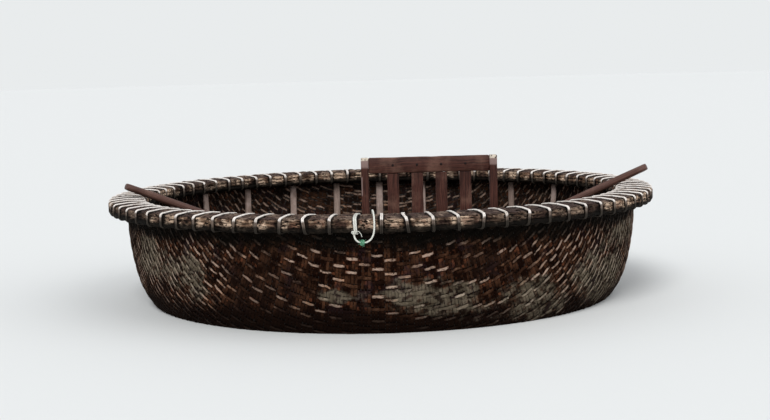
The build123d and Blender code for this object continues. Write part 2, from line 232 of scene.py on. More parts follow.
def section(s, inset):
    """Point (r, z) and outward normal of the bowl at arc length s from the bottom's middle."""
    s = np.asarray(s, float)
    which = [s < S_BILGE, s < S_WALL]
    leans = [pi / 2 - s / BOTTOM_R, BILGE_END - (s - S_BILGE) / BILGE_R,
             SHOULDER_LEAN - (s - S_WALL) / WALL_BEND_R]
    lean = np.select(which + [s < S_STRAIGHT], leans, 0.0)
    centre_r = np.select(which, [0.0, BILGE_C[0]], WALL_C[0])
    centre_z = np.select(which, [BOTTOM_Z, BILGE_C[1]], WALL_C[1])
    radius = np.select(which, [BOTTOM_R, BILGE_R], WALL_BEND_R) - inset
    n_r, n_z = np.cos(lean), -np.sin(lean)
    return centre_r + radius * n_r, centre_z + radius * n_z + np.maximum(s - S_STRAIGHT, 0), n_r, n_z


def on_bowl(u, v, inset):
    """Places on the hull from places on its flattened weave."""
    s, turn = np.hypot(u, v), np.arctan2(v, u)
    r, z, _, _ = section(s, inset)
    return np.stack([r * np.cos(turn), r * np.sin(turn), z], -1)


def bowl_table(inset):
    """Radius and height down the section, for looking one up from the other."""
    r, z, _, _ = section(np.linspace(0, S_TOP, 900), inset)
    return r, z


def radius_at(z, inset):
    """The bowl's radius at a height."""
    r, heights = bowl_table(inset)
    return np.interp(z, heights, r)


def height_at(x, y, inset):
    """The bowl's height over a place in plan."""
    r, heights = bowl_table(inset)
    return np.interp(np.hypot(x, y), r, heights)


class Sheaf:
    """Collects grids of points into one mesh, with a UV map and a tint for each point."""

    def __init__(self):
        self.points, self.faces, self.uvs, self.tints, self.count = [], [], [], [], 0

    def add(self, grid, tint, along, across, closed=False, looped=False):
        """A grid (n, m, 3). closed joins its last column to the first, looped its last row."""
        n, m = grid.shape[:2]
        rows = np.arange(n if looped else n - 1)[:, None]
        columns = np.arange(m if closed else m - 1)[None, :]
        i, j = np.broadcast_arrays(rows, columns)
        corners = [(i, j), (i, j + 1), (i + 1, j + 1), (i + 1, j)]
        faces = np.stack([(a % n) * m + b % m for a, b in corners], -1)
        self.faces.append(faces.reshape(-1, 4) + self.count)
        along = np.append(along, 2 * along[-1] - along[-2])
        across = np.append(across, 2 * across[-1] - across[-2])
        uvs = np.stack([np.stack([along[a], across[b]], -1) for a, b in corners], -2)
        self.uvs.append(uvs.reshape(-1, 2))
        self.points.append(grid.reshape(-1, 3))
        self.tints.append(np.broadcast_to(tint, (n, m, 3)).reshape(-1, 3))
        self.count += n * m

    def piece(self, name, material, slot, replaces):
        """The collected mesh as an object that rides on the hull's body."""
        mesh = bpy.data.meshes.new(name)
        mesh.from_pydata(np.concatenate(self.points), [], np.concatenate(self.faces).tolist())
        mesh.uv_layers.new(name="UVMap").data.foreach_set("uv", np.concatenate(self.uvs).ravel())
        colours = np.insert(np.concatenate(self.tints), 3, 1.0, axis=1)
        tint = mesh.color_attributes.new("tint", "FLOAT_COLOR", "POINT")
        tint.data.foreach_set("color", colours.ravel())
        mesh.shade_smooth()
        mesh.materials.append(material)
        piece = linked(name, mesh)
        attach(piece, "root")
        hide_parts(*replaces)
        return piece


def rounded_box(width, height, radius):
    """Outline of a rectangle with rounded corners, as (across, up)."""
    outline, steps = [], 2
    for turn, (a, b) in enumerate([(1, 1), (-1, 1), (-1, -1), (1, -1)]):
        for k in range(steps + 1):
            angle = (turn + k / steps) * pi / 2
            outline.append((a * (width / 2 - radius) + radius * cos(angle),
                            b * (height / 2 - radius) + radius * sin(angle)))
    return np.array(outline)


def lens(width, height, power, points):
    """A rounded outline between an ellipse and a rectangle."""
    angle = circle(points)
    a, b = np.cos(angle), np.sin(angle)
    return np.stack([width / 2 * np.sign(a) * np.abs(a) ** (2 / power),
                     height / 2 * np.sign(b) * np.abs(b) ** (2 / power)], -1)


def lengths(points):
    """Distance along a line of points."""
    steps = np.linalg.norm(np.diff(points, axis=0), axis=1)
    return np.concatenate([[0], np.cumsum(steps)])


def perimeter(outline):
    """Distance round a closed outline at each of its points."""
    return lengths(np.concatenate([outline, outline[:1]]))[:-1]


def unit(vectors):
    """Vectors brought to length 1."""
    return vectors / np.linalg.norm(vectors, axis=-1, keepdims=True)


# Sizes of the two outlines that close a swept shape's end, the outer one first
END_SCALE = np.array([0.01, 0.8])


def with_ends(rows):
    """Rows with the first and the last of them two more times."""
    return np.concatenate([rows[:1], rows[:1], rows, rows[-1:], rows[-1:]])


def sweep(sheaf, path, across, up, outline, tint, scale=None, looped=False):
    """An outline carried along a path, closed at its ends unless the path is a loop."""
    scale = np.ones(len(path)) if scale is None else scale
    if not looped:
        path, across, up = with_ends(path), with_ends(across), with_ends(up)
        scale = np.concatenate([scale[0] * END_SCALE, scale, scale[-1] * END_SCALE[::-1]])
    sized = outline[None] * scale[:, None, None]
    grid = path[:, None] + across[:, None] * sized[..., :1] + up[:, None] * sized[..., 1:]
    sheaf.add(grid, tint, lengths(path), perimeter(outline), closed=True, looped=looped)


def frames_along(path, looped=False):
    """Two unit vectors across a path at each point, which turn as little as they can."""
    if looped:
        ahead = unit(np.roll(path, -1, 0) - np.roll(path, 1, 0))
    else:
        ahead = unit(np.gradient(path, axis=0))
    side = np.empty_like(path)
    seed = np.cross(ahead[0], [0.0, 0.0, 1.0])
    if np.linalg.norm(seed) < 0.1:
        seed = np.cross(ahead[0], [1.0, 0.0, 0.0])
    for k, way in enumerate(ahead):
        seed = seed - way * np.dot(seed, way)
        seed = seed / np.linalg.norm(seed)
        side[k] = seed
    return side, np.cross(ahead, side)


def tube(sheaf, path, radius, tint, sides=8, looped=False):
    """A round tube along a path."""
    side, up = frames_along(path, looped)
    angle = circle(sides)
    outline = radius * np.stack([np.cos(angle), np.sin(angle)], -1)
    sweep(sheaf, path, side, up, outline, tint, looped=looped)


# Materials

def arithmetic(how):
    """A method that adds a math node."""
    return lambda value, other=0.0: value.shade.math(how, value, other)


class Value:
    """A value or colour in a material. Arithmetic on it adds nodes to the material."""

    def __init__(self, shade, socket):
        self.shade = shade
        self.socket = socket

    __add__ = arithmetic("ADD")
    __sub__ = arithmetic("SUBTRACT")
    __mul__ = arithmetic("MULTIPLY")
    __truediv__ = arithmetic("DIVIDE")
    __abs__ = arithmetic("ABSOLUTE")

    def __rsub__(self, other):
        return self.shade.math("SUBTRACT", other, self)

    def between(self, low, high, to_low=0.0, to_high=1.0):
        """The value moved smoothly from one range to another, and held at its ends."""
        ranges = {"From Min": low, "From Max": high, "To Min": to_low, "To Max": to_high}
        return self.shade.node("MapRange", {"Value": self, **ranges}, interpolation_type="SMOOTHSTEP")

    def shifted(self, noise, amount):
        """The value moved up and down by a noise."""
        return self + (noise - 0.5) * amount

    def coat(self, colour, value, low, high, strength):
        """This colour under a coat of another: none where a value is at low, all its strength at high."""
        return self.shade.mix(value.between(low, high, 0.0, strength), self, colour)


class Shade:
    """A new material's or world's nodes. An input is a Value, a number, a vector or a colour."""

    def __init__(self, name, kind="materials"):
        self.owner = getattr(bpy.data, kind).new(name)
        self.owner.use_nodes = True
        self.tree = self.owner.node_tree
        self.tree.nodes.clear()

    def add(self, kind, inputs=(), **settings):
        """A node with its settings and inputs."""
        node = self.tree.nodes.new("ShaderNode" + kind)
        for key, value in settings.items():
            setattr(node, key, value)
        for key, value in dict(inputs).items():
            socket = node.inputs[key]
            if isinstance(value, Value):
                self.tree.links.new(value.socket, socket)
            else:
                socket.default_value = (*value, 1.0) if socket.type == "RGBA" else value
        return node

    def node(self, kind, inputs=(), output=0, **settings):
        """One output of a new node."""
        return Value(self, self.add(kind, inputs, **settings).outputs[output])

    def split(self, kind, inputs):
        """All outputs of a new node."""
        return [Value(self, socket) for socket in self.add(kind, inputs).outputs]

    def math(self, how, a, b=0.0, clamp=False):
        return self.node("Math", {0: a, 1: b}, operation=how, use_clamp=clamp)

    def mix(self, factor, a, b):
        return self.node("Mix", {0: factor, 6: a, 7: b}, output=2, data_type="RGBA")

    def noise(self, vector, scale, detail, roughness=0.55):
        inputs = {"Vector": vector, "Scale": scale, "Detail": detail, "Roughness": roughness}
        return self.node("TexNoise", inputs, output="Fac")

    def streaks(self, vector, stretch, detail, roughness=0.55, scale=1.0):
        """Noise on a vector that is stretched first."""
        stretched = self.node("Mapping", {"Vector": vector, "Scale": stretch})
        return self.noise(stretched, scale, detail, roughness)

    def place(self):
        return self.node("TexCoord", output="Object")

    def uv(self):
        return self.node("UVMap", uv_map="UVMap")

    def tint(self):
        """The three values that a mesh carries in its tint."""
        colour = self.node("Attribute", output="Color", attribute_name="tint", attribute_type="GEOMETRY")
        return self.split("SeparateColor", {"Color": colour})

    def parts(self, vector):
        return self.split("SeparateXYZ", {"Vector": vector})

    def finish(self, colour, roughness, height, relief, bump=0.6, specular=0.5):
        """The surface shader with a bump of a height, whose relief is in metres."""
        normal = self.node("Bump", {"Height": height, "Distance": relief, "Strength": bump})
        surface = self.node("BsdfPrincipled", {
            "Base Color": colour, "Roughness": roughness, "Normal": normal, "Specular IOR Level": specular})
        self.add("OutputMaterial", {"Surface": surface})
        return self.owner


# Greyed and dim places on the hull, and dark stains on the rim: middle and half size
HULL_PATCHES = [
    ((-0.85, -0.52, 0.235), (0.07, 0.25, 0.075)),
    ((-0.69, -0.70, 0.185), (0.09, 0.25, 0.070)),
    ((-0.17, -0.96, 0.140), (0.06, 0.30, 0.020)),
    ((0.19, -0.95, 0.115), (0.17, 0.30, 0.060)),
    ((0.53, -0.80, 0.075), (0.12, 0.22, 0.085)),
    ((0.80, -0.54, 0.125), (0.13, 0.26, 0.085)),
    ((0.87, -0.48, 0.275), (0.07, 0.22, 0.050)),
    ((-0.30, 0.93, 0.16), (0.22, 0.30, 0.08)),
    ((0.90, 0.40, 0.15), (0.30, 0.16, 0.09)),
]
HULL_STAINS = [
    ((-0.98, -0.12, 0.20), (0.09, 0.30, 0.24)),
    ((-0.82, -0.50, 0.095), (0.10, 0.25, 0.050)),
    ((-0.44, -0.87, 0.15), (0.17, 0.25, 0.16)),
    ((0.33, -0.92, 0.24), (0.07, 0.25, 0.06)),
    ((0.35, 0.92, 0.15), (0.20, 0.25, 0.12)),
    ((-0.88, 0.35, 0.20), (0.20, 0.20, 0.10)),
]
RIM_STAINS = [
    ((-0.92, -0.56, 0.39), (0.30, 0.34, 0.15)),
    ((0.53, -0.90, 0.39), (0.42, 0.30, 0.15)),
    ((0.25, 1.02, 0.39), (0.40, 0.20, 0.15)),
    ((-0.80, 0.60, 0.39), (0.25, 0.25, 0.15)),
]

# Heights between which a shading sets in, from none to full
# The hull's band under the rim: painted shadow, with dirt
UNDER_RIM_SHADOW_AND_DIRT_Z = (0.285, 0.340)
WET_OUTSIDE_Z = (0.125, 0.045)
# The inside of the hull: painted shade, deeper towards the wet bottom
INSIDE_SHADE_AND_WET_Z = (0.12, -0.08)
RIM_TOP_Z = (0.4080, 0.4125)
# The rim's foot: painted shade, with soil
RIM_LOW_SHADE_AND_SOIL_Z = (0.392, 0.379)

# Heights between which the lashings' soil and painted shade fade out, and the darker soil and painted shade
# under it
SOIL_AND_SHADE_Z = (0.4020, 0.4110)
DARK_SOIL_AND_SHADE_Z = (0.3830, 0.3970)


def patches(shade, place, ragged, places):
    """Where the listed places lie, with ragged edges."""
    total = 0.0
    for middle, size in places:
        away = shade.node("VectorMath", {0: place, 1: middle}, operation="SUBTRACT")
        away = shade.node("VectorMath", {0: away, 1: size}, operation="DIVIDE")
        away = shade.node("VectorMath", {0: away}, output="Value", operation="LENGTH")
        total = shade.math("MAXIMUM", away.shifted(ragged, 3.8).between(1.30, 0.55), total)
    return total


def weave_material(name, outer):
    """Split bamboo strips, dark with oil and dirt, worn pale on the raised dashes, with painted shade where
    they pass under, a painted shadow under the rim, and the inside copy painted in shade.
    """
    shade = Shade(name)
    place, uv = shade.place(), shade.uv()
    strip, dash, lift = shade.tint()
    fibre = shade.streaks(uv, (40.0, 900.0, 1.0), 4.0)
    small = shade.noise(place, 11.0, 4.0, 0.65)
    bits = shade.noise(place, 26.0, 3.0, 0.6)
    crumb = shade.streaks(place, (1.0, 1.0, 1.4), 2.0, 0.5, scale=41.0)
    speck = shade.noise(place, 95.0, 3.0, 0.6)
    tone = strip * 0.3 + bits * 1.1
    ground = shade.mix(tone.between(0.56, 0.94), (0.006, 0.0018, 0.0008), (0.058, 0.025, 0.013))
    reddish = dash.between(0.76, 0.88) * crumb.between(0.44, 0.56)
    ground = shade.mix(reddish * 0.75, ground, (0.112, 0.038, 0.018))
    ground = ground.coat((0.022, 0.011, 0.014), small, 0.47, 0.36, 0.65)
    grey = shade.mix(bits.between(0.35, 0.65), (0.017, 0.013, 0.009), (0.198, 0.164, 0.122))
    greyed = patches(shade, place, small, HULL_PATCHES) if outer else small.between(0.60, 0.72, 0.0, 0.5)
    ground = shade.mix(greyed * crumb.between(0.38, 0.55, 0.15, 0.85), ground, grey)
    worn = shade.mix(dash, (0.150, 0.085, 0.052), (0.440, 0.316, 0.246))
    worn = worn.coat((0.400, 0.190, 0.090), bits, 0.55, 0.70, 0.55)
    worn = shade.mix(greyed * 0.6, worn, (0.370, 0.322, 0.246))
    chance = dash.shifted(bits, 1.5)
    side = abs(shade.math("FRACT", shade.parts(uv)[1] / ROW_PITCH) - 0.5).shifted(speck, 0.45)
    raised = lift.shifted(bits, 0.55)
    wear = raised.between(0.67, 0.87) * chance.between(0.18, 0.74, 0.02, 1.0) * side.between(0.32, 0.16)
    wear = shade.math("MULTIPLY", wear, fibre.between(0.34, 0.54, 0.35, 1.0), clamp=True)
    if outer:
        dim = patches(shade, place, small, HULL_STAINS) * 0.55
        wear = wear * (1.0 - dim)
        ground = shade.mix(dim, ground, (0.012, 0.006, 0.004))
    colour = shade.mix(wear, ground, worn)
    colour = colour.coat((0.007, 0.0026, 0.0014), speck, 0.55, 0.66, 0.75)
    colour = colour.coat((0.006, 0.0024, 0.0012), fibre, 0.48, 0.36, 0.60)
    # Painted shade where the strips pass under their neighbours.
    colour = colour.coat((0.005, 0.0018, 0.0008), lift, 0.36, 0.08, 0.90)
    z = shade.parts(place)[2]
    if outer:
        film = greyed * crumb.between(0.44, 0.57, 0.04, 0.58)
        colour = shade.mix(film, colour, (0.112, 0.089, 0.060))
        edge = z.shifted(small, 0.10)
        # Painted shadow under the rim, with dirt, near black on the weave's top band.
        colour = colour.coat((0.005, 0.004, 0.003), edge, *UNDER_RIM_SHADOW_AND_DIRT_Z, 0.94)
        wet_and_shade = edge.between(*WET_OUTSIDE_Z) * (0.94 - greyed * 0.66)
        colour = shade.mix(wet_and_shade, colour, (0.0065, 0.0028, 0.0017))
        roughness = speck.between(0.3, 0.7, 0.38, 0.60) + (1.0 - wear) * 0.30
    else:
        # The inside copy is painted in shade all over, and darker still towards the wet bottom.
        wet_and_shade = (z + small * 0.08).between(*INSIDE_SHADE_AND_WET_Z, 0.0, 0.8)
        colour = shade.mix(shade.math("MAXIMUM", wet_and_shade, 0.35), colour, (0.012, 0.009, 0.007))
        roughness = speck.between(0.3, 0.7, 0.60, 0.85)
    return shade.finish(colour, roughness, fibre + speck * 0.9, 0.0012, 0.8, specular=0.02)


def dark_core_material():
    """The shaded ground between the strips."""
    shade = Shade("weave_ground")
    small = shade.noise(shade.place(), 45.0, 4.0)
    colour = shade.mix(small, (0.003, 0.002, 0.002), (0.014, 0.010, 0.007))
    return shade.finish(colour, small.between(0.3, 0.7, 0.7, 0.9), small, 0.001)


def shade_beside_lashings(shade, place, ragged):
    """Where painted shade lies in the hollows on both sides of each lashing, with ragged edges."""
    x, y, _ = shade.parts(place)
    angle = shade.math("ARCTAN2", y, x) - lash_angle(0)
    beat = shade.math("FRACT", angle * (LASH_COUNT / (2 * pi)) + 0.5)
    return abs(beat - 0.5).shifted(ragged, 0.5).between(0.180, 0.095)


def rim_material():
    """Rough, weathered bamboo splits with frayed fibres, painted shade in their holes, chips and hollows,
    and painted shade with soil low down.
    """
    shade = Shade("weathered_rim_bamboo")
    place, uv, tint = shade.place(), shade.uv(), shade.tint()
    fibre = shade.streaks(uv, (28.0, 700.0, 1.0), 5.0, 0.6)
    coarse = shade.streaks(uv, (18.0, 130.0, 1.0), 4.0, 0.6)
    patch = shade.noise(place, 17.0, 4.0, 0.6)
    hole = shade.streaks(uv, (85.0, 190.0, 1.0), 2.0, 0.5)
    chip = shade.streaks(uv, (34.0, 75.0, 1.0), 2.0, 0.5)
    red = shade.noise(place, 23.0, 2.0, 0.5)
    colour = shade.mix(tint[0], (0.034, 0.018, 0.012), (0.290, 0.180, 0.114))
    colour = colour.coat((0.660, 0.484, 0.350), patch, 0.47, 0.56, 0.90)
    colour = colour.coat((0.050, 0.024, 0.018), patch, 0.46, 0.38, 0.85)
    colour = colour.coat((0.180, 0.080, 0.050), red, 0.55, 0.66, 0.60)
    stain = patches(shade, place, patch, RIM_STAINS)
    colour = shade.mix(stain * 0.76, colour, (0.026, 0.015, 0.012))
    colour = colour.coat((0.300, 0.195, 0.130), coarse, 0.55, 0.68, 0.60)
    colour = colour.coat((0.016, 0.009, 0.007), coarse, 0.47, 0.40, 0.84)
    colour = colour.coat((0.026, 0.017, 0.012), fibre, 0.50, 0.38, 0.62)
    dark = shade.math("MAXIMUM", hole.between(0.43, 0.36), chip.between(0.41, 0.35))
    dark = shade.math("MAXIMUM", dark, shade_beside_lashings(shade, place, patch) * 0.90)
    z = shade.parts(place)[2]
    colour = colour.coat((0.075, 0.052, 0.047), z, *RIM_TOP_Z, 0.68)
    # Painted shade in the holes and chips and in the hollows beside the lashings.
    colour = shade.mix(dark, colour, (0.004, 0.003, 0.002))
    # Painted shade on the rim's lower part, with soil.
    colour = colour.coat((0.005, 0.004, 0.003), z.shifted(patch, 0.03), *RIM_LOW_SHADE_AND_SOIL_Z, 0.96)
    height = fibre + coarse * 1.6 + dark * -1.5
    return shade.finish(colour, patch.between(0.3, 0.7, 0.70, 0.9), height, 0.0034, 0.8, specular=0.06)


def cord_material(name, pale, dark, lay=900.0, grime=0.5, soiled_and_shaded=False):
    """Twisted cord: pale fibres, with painted shade in the grooves between the strands, and darker at its
    foot with soil and painted shade.
    """
    shade = Shade(name)
    place, uv, tint = shade.place(), shade.uv(), shade.tint()
    along, across, _ = shade.parts(uv)
    strand = shade.math("SINE", along * lay + across * (lay * 1.1)).between(-1.0, 0.3)
    dirt = shade.noise(place, 28.0, 4.0, 0.6)
    hair = shade.streaks(uv, (500.0, 1500.0, 1.0), 2.0)
    colour = shade.mix(tint[0], [0.86 * c for c in pale], pale)
    colour = colour.coat(dark, dirt, 0.50, 0.70, grime)
    # Painted shade in the grooves between the strands.
    colour = shade.mix(strand.between(0.0, 1.0, 0.38, 0.0), colour, dark)
    if soiled_and_shaded:
        # Below the top the cord is darkened: soil, with painted shade on its faces, deepest low on the rim.
        low = shade.parts(place)[2].shifted(dirt, 0.035)
        colour = shade.mix(low.between(*SOIL_AND_SHADE_Z, 0.92, 0.0), colour, (0.098, 0.062, 0.042))
        colour = shade.mix(low.between(*DARK_SOIL_AND_SHADE_Z, 0.92, 0.0), colour, (0.016, 0.013, 0.009))
    roughness = hair.between(0.3, 0.7, 0.62, 0.85)
    return shade.finish(colour, roughness, strand + hair * 0.4, 0.0006, 0.8, specular=0.2)


def wood_material(name, dark, mid, pale, grain=(7.0, 160.0), gloss=0.62, wear=0.5, worn_and_highlit_top=None):
    """Sawn or carved wood: long grain, darker pores, pale worn patches, and above a height a pale end, bare
    wood with a painted highlight, with painted shade in its slots.
    """
    shade = Shade(name)
    place, uv, tint = shade.place(), shade.uv(), shade.tint()
    warp = shade.noise(place, 5.0, 2.0)
    bend = shade.node("CombineXYZ", {0: tint[1] * 9.0, 1: warp * 0.03})
    bent = shade.node("VectorMath", {0: uv, 1: bend})
    rings = shade.streaks(bent, (*grain, 1.0), 4.0, 0.6)
    pores = shade.streaks(bent, (45.0, 1500.0, 1.0), 2.0)
    patch = shade.noise(place, 9.0, 4.0, 0.6)
    colour = shade.mix(rings.between(0.36, 0.62), dark, mid)
    colour = colour.coat(pale, patch + tint[0] * 0.15, 0.55, 0.75, wear)
    colour = colour.coat([0.45 * c for c in dark], pores, 0.46, 0.34, 0.7)
    if worn_and_highlit_top:
        x, _, z = shade.parts(place)
        z = z.shifted(patch, 0.02)

        def from_top(low, high):
            return z.between(worn_and_highlit_top + low, worn_and_highlit_top + high)

        slot_shade = shade.streaks(place, (150.0, 150.0, 70.0), 1.0).between(0.46, 0.38)
        strip = from_top(-0.060, -0.066) * (from_top(-0.140, -0.130) * x.between(-0.069, -0.071))
        face = shade.math("MAXIMUM", from_top(-0.034, -0.022), strip)
        colour = shade.mix(face * 0.75, colour, (0.30, 0.21, 0.19))
        # The pale top: bare wood with a painted highlight.
        bare_and_highlit = from_top(-0.002, 0.002)
        colour = shade.mix(bare_and_highlit * 0.90, colour, (0.66, 0.58, 0.47))
        # Painted shade in the slots of that top.
        colour = shade.mix(bare_and_highlit * slot_shade, colour, (0.030, 0.015, 0.012))
    colour = shade.mix(tint[2].between(0.45, 0.35), colour, [0.35 * c for c in dark])
    roughness = patch.between(0.3, 0.7, gloss, gloss + 0.2)
    return shade.finish(colour, roughness, rings + pores * 0.8, 0.0012, 0.6, specular=0.22)


def paddle_material():
    """Reddish-brown blade, and a shaft greyed by hands and weather."""
    shade = Shade("paddle_wood")
    place, uv, tint = shade.place(), shade.uv(), shade.tint()
    grain = shade.streaks(uv, (5.0, 260.0, 1.0), 4.0, 0.6)
    pores = shade.streaks(uv, (40.0, 1500.0, 1.0), 2.0)
    patch = shade.noise(place, 8.0, 4.0, 0.6)
    red = shade.mix(grain.between(0.36, 0.64), (0.090, 0.032, 0.022), (0.225, 0.088, 0.056))
    grey = shade.mix(grain.between(0.36, 0.64), (0.062, 0.029, 0.023), (0.148, 0.076, 0.058))
    colour = shade.mix(tint[2], red, grey)
    colour = colour.coat((0.26, 0.155, 0.115), patch, 0.56, 0.74, 0.45)
    colour = colour.coat((0.045, 0.022, 0.016), pores, 0.46, 0.34, 0.6)
    roughness = patch.between(0.3, 0.7, 0.40, 0.62)
    return shade.finish(colour, roughness, grain + pores, 0.0009, 0.5, specular=0.22)


def floor_material():
    """Plain pale ground, shown at its own colour but still shaded."""
    shade = Shade("pale_ground")
    surface = shade.node("BsdfPrincipled", {"Base Color": (0.74, 0.75, 0.74), "Roughness": 0.9})
    shade.add("OutputMaterial", {"Surface": surface})
    return shade.owner


# Woven hull

def row_is_over(row, band):
    """Whether a row passes outside a band: over one and under two, or plain weave at the sides."""
    twill = (row - band) % 3 == 0
    plain = (row + band) % 2 == 0
    return np.where(np.abs(band + 0.5) < TWILL_BANDS, twill, plain)


def zigzag(u):
    """Sideways kink of the rows where they lie in plain weave."""
    band = u / BAND_PITCH
    wave = 2 * np.abs(band - 2 * np.floor(band / 2) - 1) - 1
    return ZIGZAG * wave * np.clip((np.abs(band) - TWILL_BANDS + 4) / 4, 0, 1)


def crossings(numbers, starts, chance, stations, reach):
    """Places along a strip inside its reach, and at each the number and the chance of what it crosses."""
    along = (starts[:, None] + stations[None]).ravel()
    keep = np.abs(along) < reach
    return along[keep], *(np.repeat(values, len(stations))[keep] for values in (numbers, chance))


def lay(sheaf, rng, columns, along, across, dash, lift):
    """Adds a strip of three columns with a tint of its own."""
    tint = np.stack([np.full_like(lift, rng.random()), dash, lift], -1)
    sheaf.add(np.stack(columns, 1), tint[:, None], along, across)


def rows(sheaf, rng, over_depth, under_depth, stations, inside=False):
    """The strips along X."""
    last = int(S_TOP / ROW_PITCH)
    half = np.array([-1.0, 0.0, 1.0]) * ROW_W / 2
    for row in range(-last - 1, last + 1):
        v0 = (row + 0.5) * ROW_PITCH
        if abs(v0) > S_TOP - EDGE_GAP:
            continue
        reach = sqrt(S_TOP ** 2 - v0 ** 2)
        bands = np.arange(int(-reach / BAND_PITCH) - 1, int(reach / BAND_PITCH) + 1)
        plain = np.clip((np.abs(bands + 0.5) - TWILL_BANDS + 2) / 4, 0, 1)
        chance = rng.random(len(bands)) ** 1.1 * (1 - 0.50 * plain) + 0.36 * plain
        u, band, dash = crossings(bands, bands * BAND_PITCH, chance, stations, reach)
        over = row_is_over(row, band) != inside
        place = (u / BAND_PITCH) % 1
        lift = np.where(over, 0.72 + 0.28 * np.sin(pi * place), 0.12 * (1 - np.sin(pi * place)))
        depth = under_depth + (over_depth - under_depth) * lift + rng.normal(0, 0.00012, len(u))
        u = u + rng.normal(0, 0.0012, len(u))
        taper = np.where(over, 0.80 + 0.24 * np.sin(pi * place), 0.85)
        width = taper * (1 + rng.normal(0, 0.07) + rng.normal(0, 0.07, len(u)))
        v = v0 + rng.normal(0, 0.0006) + rng.normal(0, 0.0010, len(u)) + zigzag(u)
        sag = CROWN * (1 if over_depth < under_depth else -1)
        columns = [on_bowl(u, v + offset * width, depth + sag * (offset / half[-1]) ** 2)
                   for offset in half]
        lay(sheaf, rng, columns, u, half + v0, dash, lift)


def bands(sheaf, rng, numbers, over_depth, under_depth, strips, stations, inside=False):
    """The strips along Y, several side by side in each band."""
    last = int(S_TOP / ROW_PITCH)
    numbered = np.arange(-last - 1, last + 1)
    starts = (numbered + 0.5) * ROW_PITCH
    pitch = BAND_PITCH / strips
    half = np.array([-1.0, 0.0, 1.0]) * STRIP_W / 2 * (STRIPS_IN_BAND / strips)
    for band in numbers:
        for k in range(strips):
            u0 = band * BAND_PITCH + (k + 0.5) * pitch
            if abs(u0) > S_TOP - EDGE_GAP:
                continue
            reach = sqrt(S_TOP ** 2 - u0 ** 2)
            v, row, dash = crossings(numbered, starts, rng.random(len(starts)), stations, reach)
            over = row_is_over(row, np.full_like(row, band)) == inside
            lift = np.where(over, 0.9, 0.0)
            depth = under_depth + (over_depth - under_depth) * lift + rng.normal(0, 0.00015, len(v))
            u = u0 + rng.normal(0, 0.0006)
            sag = CROWN * 0.8 * (1 if over_depth < under_depth else -1)
            columns = [on_bowl(np.full_like(v, u) + offset, v, depth + sag * (offset / half[-1]) ** 2)
                       for offset in half]
            lay(sheaf, rng, columns, v, half + u0, dash, lift * 0.45)


def hull():
    """The woven hull: strips outside and inside over a thin dark ground."""
    outside = weave_material("woven_bamboo", True)
    # The inside copy of the weave is painted darker, as shade.
    inside = weave_material("woven_bamboo_inside", False)
    rng = dice(11)
    row_stations = BAND_PITCH * np.array([0.06, 0.34, 0.66, 0.94])
    band_stations = ROW_PITCH * np.array([-0.34, 0.34])
    last = int(S_TOP / BAND_PITCH) + 1
    strips = Sheaf()
    rows(strips, rng, ROW_OVER, ROW_UNDER, row_stations)
    strips.piece("weave_rows", outside, "hull_weave", ["woven_hull"])
    for name, numbers in (("weave_bands_left", range(-last, 0)), ("weave_bands_right", range(0, last))):
        strips = Sheaf()
        bands(strips, rng, numbers, BAND_OVER, BAND_UNDER, STRIPS_IN_BAND, band_stations)
        strips.piece(name, outside, "hull_weave", ["woven_hull"])
    row_stations = BAND_PITCH * np.array([0.1, 0.5, 0.9])
    band_stations = ROW_PITCH * np.array([-0.3, 0.3])
    strips = Sheaf()
    rows(strips, rng, INNER_OVER, INNER_UNDER, row_stations, inside=True)
    bands(strips, rng, range(-last, last), INNER_OVER, INNER_UNDER, INSIDE_STRIPS, band_stations,
          inside=True)
    strips.piece("weave_inside", inside, "hull_weave", ["woven_hull"])
    down = np.linspace(0.002, S_TOP, CORE_STATIONS)
    s = np.concatenate([down, down[::-1]])
    r, z, _, _ = section(s, np.repeat([CORE_OUT, CORE_IN], CORE_STATIONS))
    turn = circle(ROUND_SIDES)
    core = Sheaf()
    core.add(revolved(turn, r, z), np.zeros(3), turn, s, closed=True, looped=True)
    core.piece("weave_ground", dark_core_material(), "hull_weave", ["woven_hull"])


# Rim

def lash_angle(index):
    """Angle about Z of a lashing, counted from the one nearest -Y; -1 is the heavier loop."""
    return -pi / 2 + LASH_SHIFT + index * 2 * pi / LASH_COUNT


# Splits of the bundle: how many, first and last (r, z), width across the run of them, thickness
SPLIT_RUNS = [
    (3, (OUTER_R - 0.0056, 0.3765), (OUTER_R - 0.0066, 0.4025), 0.0150, 0.0125),
    (3, (OUTER_R - 0.0170, 0.4085), (1.0205, 0.4125), 0.0158, 0.0095),
    (2, (1.0075, 0.4130), (0.9880, 0.4130), 0.0185, 0.0086),
    (3, (0.9755, 0.4125), (INNER_R + 0.0120, 0.4085), 0.0150, 0.0095),
    (3, (INNER_R + 0.0052, 0.4030), (INNER_R + 0.0052, 0.3760), 0.0150, 0.0108),
    (3, (INNER_R + 0.0150, 0.3715), (0.9850, 0.3715), 0.0165, 0.0090),
    (4, (1.0090, 0.3715), (OUTER_R - 0.0155, 0.3715), 0.0165, 0.0090),
]

# Heights of the plain core between the splits
RIM_CORE_LOW_Z = 0.373
RIM_CORE_HIGH_Z = 0.4075


